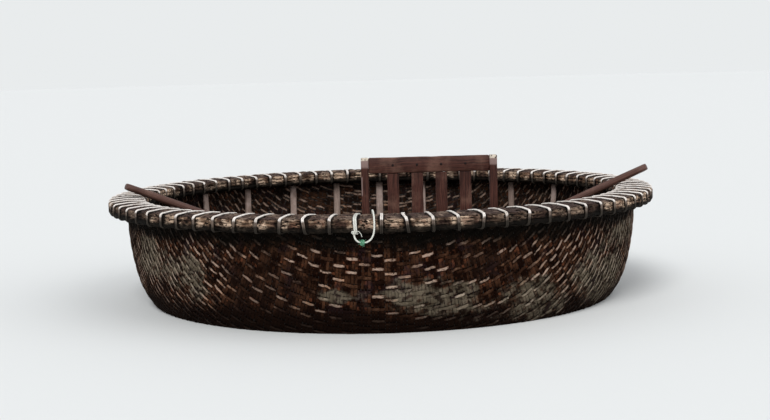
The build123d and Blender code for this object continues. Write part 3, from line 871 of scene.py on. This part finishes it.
def rim_bundle():
    """The rim: splits of bamboo side by side round a core, drawn in at each lashing."""
    sheaf, rng, count = Sheaf(), dice(21), RIM_STATIONS
    turn = circle(count)
    radial = np.stack([np.cos(turn), np.sin(turn), np.zeros(count)], -1)
    beat = (turn + pi / 2 - LASH_SHIFT) * LASH_COUNT / (2 * pi)
    pinch = np.exp(-((beat - np.round(beat)) / PINCH_W) ** 2)
    middle = np.array([WALL_MID_R, (RIM_BASE_Z + HOOP_TOP_Z) / 2])
    for amount, first, last, width, thick in SPLIT_RUNS:
        run = np.array(last) - np.array(first)
        across = run / hypot(*run)
        out = np.array([across[1], -across[0]])
        if np.dot(out, (np.array(first) + np.array(last)) / 2 - middle) < 0:
            out = -out
        for k in range(amount):
            place = np.array(first) + run * (k / (amount - 1))
            slide = wobble(turn, rng, 0.0007, 3, 30) + wobble(turn, rng, 0.0004, 60, 200)
            lift = wobble(turn, rng, 0.0009, 3, 40) + wobble(turn, rng, 0.0010, 80, 240)
            lift = lift - PINCH * pinch + SPLIT_LIFT
            scale = 1 + wobble(turn, rng, 0.05, 5, 60) + wobble(turn, rng, 0.07, 90, 240)
            for joint in rng.uniform(0, 2 * pi, rng.integers(12, 20)):
                away = np.abs((turn - joint + pi) % (2 * pi) - pi)
                scale *= 1 - rng.uniform(0.3, 0.8) * np.exp(-(away / rng.uniform(0.005, 0.012)) ** 2)
            path = in_planes(radial, place + across * slide[:, None] + out * lift[:, None])
            tip = wobble(turn, rng, 0.07, 3, 30)[:, None]
            side = in_planes(radial, across * np.cos(tip) - out * np.sin(tip))
            up = in_planes(radial, out * np.cos(tip) + across * np.sin(tip))
            shade = np.clip(rng.random() * 0.5 + 0.25 + wobble(turn, rng, 0.20, 8, 90), 0, 1)
            tint = np.stack([shade, np.full(count, rng.random()), np.full(count, 0.5)], -1)[:, None]
            sweep(sheaf, path, side, up, lens(width, thick, 3.0, 8), tint, scale, looped=True)
    for low_r, high_r in ((INNER_R + 0.008, 0.9925), (1.0025, OUTER_R - 0.009)):
        r = np.array([low_r, high_r, high_r, low_r])
        z = np.repeat([RIM_CORE_LOW_Z, RIM_CORE_HIGH_Z], 2)
        sheaf.add(revolved(turn, r, z), np.zeros(3), turn, z, closed=True, looped=True)
    hoops = [side + "_hoop_" + level for side in ("outer", "inner") for level in ("low", "mid", "high")]
    sheaf.piece("rim_bundle", rim_material(), "rim_bamboo", hoops + ["rim_cap"])


def loop_outline(clear):
    """Closed line round the rim's section in (r, z), at a distance from what the lashings enclose."""
    half_cap = CAP_W / 2 + FIT
    corners = np.array([
        (INNER_R - FIT, RIM_BASE_Z - FIT),
        (OUTER_R + FIT, RIM_BASE_Z - FIT),
        (OUTER_R + FIT, HOOP_TOP_Z + FIT),
        (WALL_MID_R + half_cap, CAP_TOP_Z + FIT),
        (WALL_MID_R - half_cap, CAP_TOP_Z + FIT),
        (INNER_R - FIT, HOOP_TOP_Z + FIT),
    ])
    line = []
    for before, here, after in zip(np.roll(corners, 1, 0), corners, np.roll(corners, -1, 0)):
        into, out = unit(here - before), unit(after - here)
        turn = np.arccos(np.clip(np.dot(into, out), -1, 1))
        normal_in, normal_out = np.array([into[1], -into[0]]), np.array([out[1], -out[0]])
        centre = here - into * LASH_BEND * tan(turn / 2) - normal_in * LASH_BEND
        for share in np.linspace(0, 1, 5):
            normal = unit(normal_in * (1 - share) + normal_out * share)
            line.append(centre + normal * (LASH_BEND + clear))
    return np.array(line)


def filled_in(line, longest):
    """The closed line with points added on its long runs."""
    result = []
    for here, after in zip(line, np.roll(line, -1, 0)):
        parts = max(1, int(np.ceil(np.linalg.norm(after - here) / longest)))
        result += [here + (after - here) * k / parts for k in range(parts)]
    return np.array(result)


def lashing(sheaf, rng, angle, cord_r, turns, sides):
    """A lashing's turns of cord, side by side round the rim. Late in a turn the cord steps to the next."""
    line = filled_in(loop_outline(cord_r), LASH_SEGMENT)
    line = np.roll(line, -len(line) // 8, 0)
    path, count = [], len(line)
    share = np.arange(count) / count
    late = np.clip((share - LASH_STEP) / (1 - LASH_STEP), 0, 1)
    radial = np.array([cos(angle), sin(angle), 0])
    sideways = np.array([-sin(angle), cos(angle), 0])
    outward = unit(line - np.array([WALL_MID_R, RIM_MID_Z]))
    lean = rng.normal(0, LASH_LEAN)
    for turn in range(turns):
        shift = (turn - (turns - 1) / 2) * 2 * cord_r
        step = 2 * cord_r * late ** 2 * (3 - 2 * late)
        rz = line
        if turn == turns - 1:
            step = -step * (turns - 1)
            lift = 0.9 * cord_r * np.exp(-((share - LASH_CROSSING) / 0.03) ** 2)
            rz = line + outward * lift[:, None]
        aside = shift + step + lean * np.cos(2 * pi * share) + rng.normal(0, 0.00015, count)
        path.append(in_planes(radial, rz) + sideways * aside[:, None])
    tube(sheaf, np.concatenate(path), cord_r * 0.98, random_tint(rng), sides, looped=True)


def lashings():
    """The pale lashings all round the rim, and the heavier loop that the tie cord starts from."""
    rng, sheaf = dice(31), Sheaf()
    for index in range(LASH_COUNT - 1):
        lashing(sheaf, rng, lash_angle(index), LASH_T / 2, 2, 8)
    pale = cord_material("lashing_cord", (0.92, 0.865, 0.815), (0.30, 0.220, 0.150), soiled_and_shaded=True)
    sheaf.piece("lashing_turns", pale, "lashing_cord", ["rim_lashings"])
    sheaf = Sheaf()
    lashing(sheaf, rng, lash_angle(-1), TIE_LASH_T / 2, 2, 12)
    white = cord_material("tie_cord_white", (0.76, 0.76, 0.70), (0.38, 0.37, 0.30), lay=650.0, grime=0.3)
    sheaf.piece("tie_loop", white, "tie_cord", ["tie_lashing"])
    return white


# Tie cord

def route_points():
    """Points along the smooth line that the tie cord follows."""
    data = bpy.data.curves.new("route", "CURVE")
    data.dimensions = "3D"
    data.resolution_u = 14
    spline = data.splines.new("NURBS")
    spline.points.add(len(CORD_ROUTE) - 1)
    for point, place in zip(spline.points, CORD_ROUTE):
        point.co = (*place, 1)
    spline.order_u = 3
    spline.use_endpoint_u = True
    curve = linked("route", data)
    mesh = bpy.data.meshes.new_from_object(curve)
    points = np.array([tuple(v.co) for v in mesh.vertices])
    bpy.data.objects.remove(curve)
    bpy.data.meshes.remove(mesh)
    return points


def evenly(points, step):
    """The same line with points at even steps."""
    along = lengths(points)
    at = np.linspace(0, along[-1], max(4, int(along[-1] / step)))
    return np.stack([np.interp(at, along, points[:, k]) for k in range(3)], -1)


def strands(sheaf, path, radius, amount, lay, rng):
    """Twisted strands round a path, together of one radius."""
    thick = radius / (1 + 1 / sin(pi / amount))
    side, up = frames_along(path)
    along = lengths(path)
    for k in range(amount):
        angle = 2 * pi * (along / lay + k / amount)
        place = path + (radius - thick) * (side * np.cos(angle)[:, None] + up * np.sin(angle)[:, None])
        tube(sheaf, place, thick * 1.06, random_tint(rng))


def wound_knot(sheaf, centre, ahead, size, cord_r, rng):
    """A tight knot: a trefoil of cord drawn round the line that it sits on."""
    ahead = unit(np.asarray(ahead, float))
    side = unit(np.cross(ahead, [0.3, 0.2, 1.0]))
    up = np.cross(ahead, side)
    t = np.linspace(0, 2 * pi, KNOT_STATIONS, endpoint=False)
    big, small = size - cord_r - 0.0001, 0.48 * (size - cord_r)
    ring = (big - small) + small * np.cos(3 * t)
    path = np.asarray(centre) + side * (ring * np.cos(2 * t))[:, None] + up * (ring * np.sin(2 * t))[:, None]
    path = path + ahead * (small * 1.15 * np.sin(3 * t))[:, None]
    tube(sheaf, path, cord_r, random_tint(rng), looped=True)


def tie_cord(white):
    """The tie cord with its knots."""
    rng = dice(41)
    path = evenly(route_points(), CORD_SEGMENT)
    sheaf = Sheaf()
    strands(sheaf, path, CORD_D / 2, 3, CORD_LAY, rng)
    cord = sheaf.piece("tie_cord_strands", white, "tie_cord", ["tie_cord"])
    start = Sheaf()
    wound_knot(start, path[0], path[8] - path[0], KNOT_R, START_KNOT_CORD, rng)
    loose = np.array([(-0.094, -1.084, 0.3745), (-0.088, -1.0865, 0.3765), (-0.080, -1.0868, 0.3745),
                      (-0.0735, -1.0862, 0.3670), (-0.0700, -1.0858, 0.3560)])
    tube(start, evenly(loose, 0.002), 0.0011, np.array([0.8, 0.5, 0.5]), 6)
    start_knot = start.piece("start_knot", white, "tie_cord", ["tie_knot_start"])
    end = Sheaf()
    wound_knot(end, path[-1], path[-8] - path[-1], KNOT_R, END_KNOT_CORD, rng)
    end_knot = end.piece("end_knot", white, "tie_cord", ["tie_knot_end"])
    low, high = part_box("tie_knot_green")
    centre = (np.array(low) + np.array(high)) / 2
    green = Sheaf()
    for shift, way, size, twine_r in GREEN_WINDINGS:
        wound_knot(green, centre + np.array([shift, 0, 0]), way, size, twine_r, rng)
    for _ in range(GREEN_FIBRES):
        way = unit(rng.normal(0, 1, 3) * np.array([1.2, 0.8, 0.9]))
        bend = rng.normal(0, 0.0018, 3)
        share = np.linspace(0, 1, 5)[:, None]
        fibre = centre + way * (0.0060 + 0.0085 * share) + bend * share * share
        tube(green, fibre, GREEN_FIBRE_R, np.array([rng.random(), 0.5, 0.5]), 4)
    twine = cord_material("green_twine", (0.13, 0.34, 0.21), (0.03, 0.11, 0.06), lay=1300.0, grime=0.4)
    green_knot = green.piece("green_knot", twine, "green_twine", ["tie_knot_green"])


# Ribs

# A rib's crowned section, as shares of its width and thickness
RIB_OUTLINE = [
    (-0.5, -0.42), (-0.5, 0.05), (-0.40, 0.34), (-0.2, 0.46), (0.0, 0.5), (0.2, 0.46),
    (0.40, 0.34), (0.5, 0.05), (0.5, -0.42), (0.25, -0.5), (-0.25, -0.5),
]


def ribs():
    """Split bamboo ribs, one layer along Y and one over it along X."""
    grey = wood_material("rib_bamboo", (0.175, 0.120, 0.096), (0.33, 0.245, 0.205), (0.48, 0.37, 0.325),
                         grain=(9.0, 320.0), gloss=0.55, wear=0.7)
    for layer, inset in (("fore_aft", RIB_LAYER_1), ("across", RIB_LAYER_2)):
        for number in range(1, RIBS + 1):
            name = "rib_" + layer + "_" + str(number)
            rng = dice(50 + number + 10 * len(layer))
            rib(name, (number - (RIBS + 1) / 2) * RIB_PITCH, inset, layer == "fore_aft", grey, rng)


def rib(name, offset, inset, fore_aft, material, rng):
    """One rib: a crowned split with knots along it, bent to the bowl."""
    middle = inset + RIB_T / 2
    table = np.linspace(0, S_RIB_TOP, 4000)
    r, _, _, _ = section(table, middle)
    start = table[np.searchsorted(r, abs(offset) + 1e-5)] if offset else 0.0
    s = start + (S_RIB_TOP - start) * np.linspace(0, 1, RIB_STATIONS) ** (1.6 if offset else 1.0)
    r, z, n_r, n_z = section(s, middle)
    other = np.sqrt(np.maximum(r ** 2 - offset ** 2, 0))
    other[0] = 0.0
    other = np.concatenate([-other[:0:-1], other])
    r, z, n_r, n_z = (np.concatenate([half[:0:-1], half]) for half in (r, z, n_r, n_z))
    flat = np.full_like(other, offset)
    path = np.stack([flat, other, z] if fore_aft else [other, flat, z], -1)
    safe = np.maximum(r, 1e-6)
    up = np.stack([-path[:, 0] / safe * n_r, -path[:, 1] / safe * n_r, -n_z], -1)
    ahead = unit(np.gradient(path, axis=0))
    up = unit(up - ahead * np.sum(up * ahead, -1, keepdims=True))
    across = np.cross(up, ahead)
    along = lengths(path)
    width = 1 + rng.normal(0, 0.03) + 0.03 * np.sin(along * 5 + rng.uniform(0, 6))
    for knot in np.arange(rng.uniform(0.05, 0.3), along[-1], RIB_KNOTS):
        width += 0.07 * np.exp(-((along - knot) / 0.010) ** 2)
    outline = np.array(RIB_OUTLINE) * np.array([RIB_W, RIB_T])
    scale = np.clip(width, 0.9, 1.06)
    sheaf = Sheaf()
    sweep(sheaf, path, across, up, outline, random_tint(rng), scale)
    sheaf.piece(name + "_split", material, "rib_bamboo", [name])


# Woodwork

def board(sheaf, low, high, axis, rng, rounding=0.004, trim=None, stations=26, rough=0.0006):
    """A sawn board between two corners, its grain along an axis, its ends trimmed by a function."""
    low, high = np.array(low, float), np.array(high, float)
    size, middle = high - low, (low + high) / 2
    a, b = [k for k in range(3) if k != axis]
    outline = rounded_box(size[a], size[b], min(rounding, 0.45 * min(size[a], size[b])))
    ends = np.array([0.0, 0.0, 0.25 * rounding / size[axis], rounding / size[axis]])
    share = np.concatenate([ends, np.linspace(0, 1, stations)[1:-1], 1 - ends[::-1]])
    widest = max(size[a], size[b])
    shrink = np.array([0.01, 1 - 1.6 * rounding / widest, 1 - 0.7 * rounding / widest, 1])
    scale = np.concatenate([shrink, np.ones(stations - 2), shrink[::-1]])
    t = share * 2 * pi
    wave = np.stack([wobble(t, rng, rough, 1, 6), wobble(t, rng, rough, 1, 6)], -1)
    grow = 1 - np.abs(wobble(t, rng, 0.006, 1, 5))
    sized = outline[None] * (scale * grow)[:, None, None]
    points = sized + wave[:, None] * (share * (1 - share) * 4)[:, None, None]
    grid = np.empty((len(share), len(outline), 3))
    for column, side in enumerate((a, b)):
        half = size[side] / 2
        grid[..., side] = middle[side] + np.clip(points[..., column], -half, half)
    grid[..., axis] = low[axis] + share[:, None] * size[axis]
    if trim:
        grid = trim(grid, share[:, None])
    sheaf.add(grid, random_tint(rng), share * size[axis], perimeter(outline), closed=True)


def pegs(sheaf, places, way):
    """Low dark heads of the pegs that hold a board, standing proud of it along a direction."""
    way = np.array(way, float)
    side = unit(np.cross(way, [0.3, 0.5, 0.8]))
    up = np.cross(way, side)
    angle = circle(8)
    ring = side * np.cos(angle)[:, None] + up * np.sin(angle)[:, None]
    profile = [(1.0, -0.2), (1.0, 0.5), (0.75, 0.9), (0.01, 1.0)]
    for place in places:
        grid = np.stack([np.array(place) + PEG_R * size * ring + PEG_PROUD * lift * way
                         for size, lift in profile])
        sheaf.add(grid, np.array([0.5, 0.5, 0.0]), np.arange(4) * PEG_PROUD, angle * PEG_R, closed=True)


def whole_board(name, ending, material, slot, axis, rng, heads=(), way=UP, **form):
    """A board that fills its node's box, with the heads of its pegs, as a piece."""
    sheaf = Sheaf()
    board(sheaf, *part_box(name), axis, rng, **form)
    pegs(sheaf, heads, way)
    sheaf.piece(name + ending, material, slot, [name])


def across_bowl(grid, share):
    """Ends a board along X where the ribs begin."""
    limit = np.sqrt(np.maximum(radius_at(grid[..., 2], INSIDE_RIBS) ** 2 - grid[..., 1] ** 2, 0)) - 0.0006
    grid[..., 0] = (2 * share - 1) * limit
    return grid


def stands_on_hull(top):
    """Stands a post's foot on the hull, below a given top."""
    def trim(grid, share):
        foot = height_at(grid[..., 0], grid[..., 1], ON_HULL) + 0.0003
        grid[..., 2] = foot + share * (top - foot)
        return grid
    return trim


def thwart():
    """Three planks from side to side on two bent ledgers."""
    wood = wood_material("thwart_wood", (0.125, 0.085, 0.058), (0.255, 0.180, 0.125), (0.40, 0.31, 0.235),
                         wear=0.75)
    for k, side in enumerate(("front", "mid", "back")):
        name = "thwart_plank_" + side
        low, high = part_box(name)
        reach = radius_at(high[2], INSIDE_RIBS) - 0.030
        rows_y = np.array([0.25, 0.75]) * (high[1] - low[1]) + low[1]
        heads = [(end * sqrt(reach ** 2 - y ** 2), y, high[2]) for end in (-1, 1) for y in rows_y]
        whole_board(name, "_board", wood, "thwart_wood", 0, dice(80 + k), heads,
                    rounding=0.0035, trim=across_bowl, stations=60, rough=0.0)
    for k, side in enumerate(("left", "right")):
        ledger("thwart_ledger_" + side, wood, dice(90 + k))


def ledger(name, material, rng):
    """A bent bearer that follows the ribs under the planks' ends."""
    low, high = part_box(name)
    side = -1 if low[0] < 0 else 1
    y = np.linspace(low[1], high[1], LEDGER_STATIONS)
    z_mid = (low[2] + high[2]) / 2
    sheaf = Sheaf()
    outline = rounded_box(LEDGER_T, high[2] - low[2], 0.004)
    grid = np.empty((len(y) + 4, len(outline), 3))
    stations = with_ends(np.arange(LEDGER_STATIONS))
    scale = np.concatenate([[0.01, 0.86], np.ones(LEDGER_STATIONS), [0.86, 0.01]])
    for row, (station, size) in enumerate(zip(stations, scale)):
        for column, (out, up) in enumerate(outline * size):
            z = z_mid + up
            r = radius_at(z, INSIDE_RIBS) - LEDGER_T / 2 + out - 0.0004
            grid[row, column] = (side * sqrt(max(r * r - y[station] ** 2, 0)), y[station], z)
    sheaf.add(grid, random_tint(rng), y[stations], perimeter(outline), closed=True)
    sheaf.piece(name + "_bearer", material, "thwart_wood", [name])


def seat():
    """The centre seat's frame and back."""
    # Dark red-brown wood, made darker still as painted shadow.
    colours = (0.028, 0.009, 0.006), (0.084, 0.029, 0.020), (0.22, 0.120, 0.086)
    wood = wood_material("seat_wood", *colours, gloss=0.5, wear=0.40)
    rail_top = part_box("seat_back_top_rail")[1][2]
    # The posts' pale tops: bare wood with a painted highlight.
    bare_and_highlit_ended = wood_material("seat_post_wood", *colours, gloss=0.5, wear=0.40, worn_and_highlit_top=rail_top - 0.012)
    axes = {"seat_front_leg": 2, "seat_back_post": 2, "seat_rail": 1, "seat_stretcher": 1}
    names = [(kind + side, axis) for kind, axis in axes.items() for side in ("_left", "_right")]
    for number, (name, axis) in enumerate(names, 101):
        foot = stands_on_hull(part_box(name)[1][2]) if axis == 2 else None
        material = bare_and_highlit_ended if name.startswith("seat_back_post") else wood
        whole_board(name, "_piece", material, "seat_wood", axis, dice(number), trim=foot)
    for number, name in enumerate(("seat_back_top_rail", "seat_back_low_rail"), 109):
        low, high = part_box(name)
        heads = [(low[0] + (high[0] - low[0]) * share, low[1] + 0.0006, (low[2] + high[2]) / 2)
                 for share in (0.2, 0.4, 0.6, 0.8)]
        whole_board(name, "_piece", wood, "seat_wood", 0, dice(number), heads, (0, -1, 0), rounding=0.005)
    low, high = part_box("seat_back_slats")
    sheaf, rng = Sheaf(), dice(120)
    for k in range(SLATS):
        x = low[0] + (high[0] - low[0] - SLAT_W) * k / (SLATS - 1)
        board(sheaf, (x, low[1], low[2]), (x + SLAT_W, high[1], high[2]), 2, rng, rounding=0.003)
    sheaf.piece("seat_back_slats_set", wood, "seat_wood", ["seat_back_slats"])


# Paddles

def node_axes(name):
    """A long node's tip, its direction from the wide end, its width direction and its length."""
    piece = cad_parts[name]
    points = np.array([tuple(piece.matrix_world @ v.co) for v in piece.data.vertices])
    centre = points.mean(0)
    way = np.linalg.svd(points - centre, full_matrices=False)[2][0]
    along = (points - centre) @ way
    spread = []
    for end in (along.min(), along.max()):
        near = points[np.abs(along - end) < 0.08]
        flat = near - near.mean(0)
        spread.append(np.linalg.norm(flat - np.outer(flat @ way, way), axis=1).max())
    if spread[0] < spread[1]:
        way, along = -way, -along
    side = unit(np.cross([0, 0, 1.0], way))
    first, last = along.min(), along.max()
    tip_points = points[along < first + 0.001]
    return tip_points.mean(0), way, side, last - first


def paddle(name, material, rng):
    """A carved paddle: long narrow blade, round shaft and flared grip."""
    tip, way, side, length = node_axes(name)
    up = np.cross(way, side)
    grip = length - GRIP_L
    at = np.concatenate([
        [0, 0, 0.004, 0.015],
        np.linspace(0.03, BLADE_L, 34),
        np.linspace(BLADE_L + 0.03, grip, 22),
        np.linspace(grip + 0.012, length - 0.012, 12),
        [length - 0.004, length, length],
    ])
    wide = np.interp(at, [0, 0.18, BLADE_L, BLADE_L + 0.06, grip, length - 0.029, length],
                     [0.088, 0.088, 0.036, 0.033, 0.0300, 0.058, 0.0406])
    thick = np.interp(at, [0, BLADE_L, BLADE_L + 0.06, grip, length],
                      [0.012, 0.028, 0.033, 0.0290, 0.0264])
    square = np.interp(at, [0, BLADE_L * 0.9, BLADE_L + 0.05, length], [3.2, 3.0, 2.0, 2.2])
    close = np.ones(len(at))
    close[[0, -1]] = 0.01
    close[[1, -2]] = 0.90
    close[[2, -3]] = 0.97
    angle = circle(20)
    a, b = np.cos(angle), np.sin(angle)
    power = (2 / square)[:, None]
    nicks = 1 + rng.normal(0, 0.004, (len(at), 1))
    x = np.sign(a) * np.abs(a) ** power * (wide * close / 2)[:, None] * nicks
    y = np.sign(b) * np.abs(b) ** power * (thick * close / 2)[:, None] * nicks
    ridged = np.interp(at, [0, 0.25, BLADE_L, BLADE_L + 0.03], [0, 1, 0.6, 0])[:, None]
    ridge = 0.0022 * np.exp(-(x / 0.010) ** 2) * np.sign(y) * ridged
    y = y + ridge * (np.abs(b) > 0.5)
    grid = tip + way * at[:, None, None] + side * x[..., None] + up * y[..., None]
    sheaf = Sheaf()
    tint = np.stack([np.interp(at, [0, BLADE_L, BLADE_L + 0.2, length], [0.1, 0.3, 0.9, 1.0]),
                     np.full(len(at), rng.random()), np.interp(at, [0.6, 0.85], [0.0, 1.0])], -1)
    sheaf.add(grid, tint[:, None], at, angle * 0.02, closed=True)
    sheaf.piece(name + "_carved", material, "paddle_wood", [name])


# Stage

FLOOR_INSET = 0.003     # how far the floor reaches into the hull's wall
FLOOR_RADII = [1.2, 2.0, 4.0, 9.0, 20.0, 60.0]


def floor():
    """Plain ground at the water plane, open where the hull stands in it."""
    sides = ROUND_SIDES
    radii = [float(radius_at(0.0, FLOOR_INSET))] + FLOOR_RADII
    points = [(r * cos(t), r * sin(t), 0.0) for r in radii for t in circle(sides)]
    faces = []
    for inner in range(0, (len(radii) - 1) * sides, sides):
        outer = inner + sides
        for i in range(sides):
            after = (i + 1) % sides
            faces.append((outer + i, outer + after, inner + after, inner + i))
    mesh = bpy.data.meshes.new("ground")
    mesh.from_pydata(points, [], faces)
    mesh.materials.append(floor_material())
    ground = linked("ground", mesh)


def camera():
    """The photograph's viewpoint."""
    yaw, pitch, roll = CAMERA_YAW, CAMERA_PITCH, CAMERA_ROLL
    forward = Vector((sin(yaw) * cos(pitch), cos(yaw) * cos(pitch), -sin(pitch)))
    right = Vector((cos(yaw), -sin(yaw), 0))
    up = right.cross(forward)
    across = right * cos(roll) + up * sin(roll)
    upright = up * cos(roll) - right * sin(roll)
    data = bpy.data.cameras.new("camera")
    data.sensor_fit = "HORIZONTAL"
    data.sensor_width = 36
    data.lens = FOCAL_PX / PHOTO_W * data.sensor_width
    data.clip_end = 200
    view = linked("camera", data)
    turned = Matrix((across, upright, -forward)).transposed().to_4x4()
    view.matrix_world = Matrix.Translation(CAMERA_AT) @ turned
    bpy.context.scene.camera = view


# Name, turn and tilt in degrees, strength, and spread in degrees
LAMPS = [
    ("key", -15, 48, 1.95, 25),
    ("fill", 60, 55, 0.8, 60),
]


# Colour and strength of the sky's light, and the colour in which the camera sees it
SKY_LIGHT = (0.93, 0.96, 1.0)
SKY_STRENGTH = 0.62
SKY_SHOWN = (0.815, 0.838, 0.845)


def lights():
    """Soft daylight: a pale sky, a high lamp a little to the viewer's left and a broad one at the right."""
    sky = Shade("sky", "worlds")
    seen = sky.node("LightPath", output="Is Camera Ray")
    light = sky.node("Background", {"Color": SKY_LIGHT, "Strength": SKY_STRENGTH})
    shown = sky.node("Background", {"Color": SKY_SHOWN})
    sky.add("OutputWorld", {"Surface": sky.node("MixShader", {0: seen, 1: light, 2: shown})})
    bpy.context.scene.world = sky.owner
    for name, turn, tilt, energy, spread in LAMPS:
        data = bpy.data.lights.new(name, "SUN")
        data.energy, data.angle = energy, radians(spread)
        lamp = linked(name, data)
        lamp.rotation_euler = (radians(tilt), 0, radians(turn))


def build():
    """The stage, the pieces and the colour setting."""
    camera()
    lights()
    floor()
    white = lashings()
    tie_cord(white)
    hull()
    rim_bundle()
    ribs()
    thwart()
    seat()
    wood = paddle_material()
    for k, side in enumerate(("left", "right")):
        paddle("paddle_" + side, wood, dice(130 + k))
    bpy.context.scene.view_settings.view_transform = "Standard"


build()
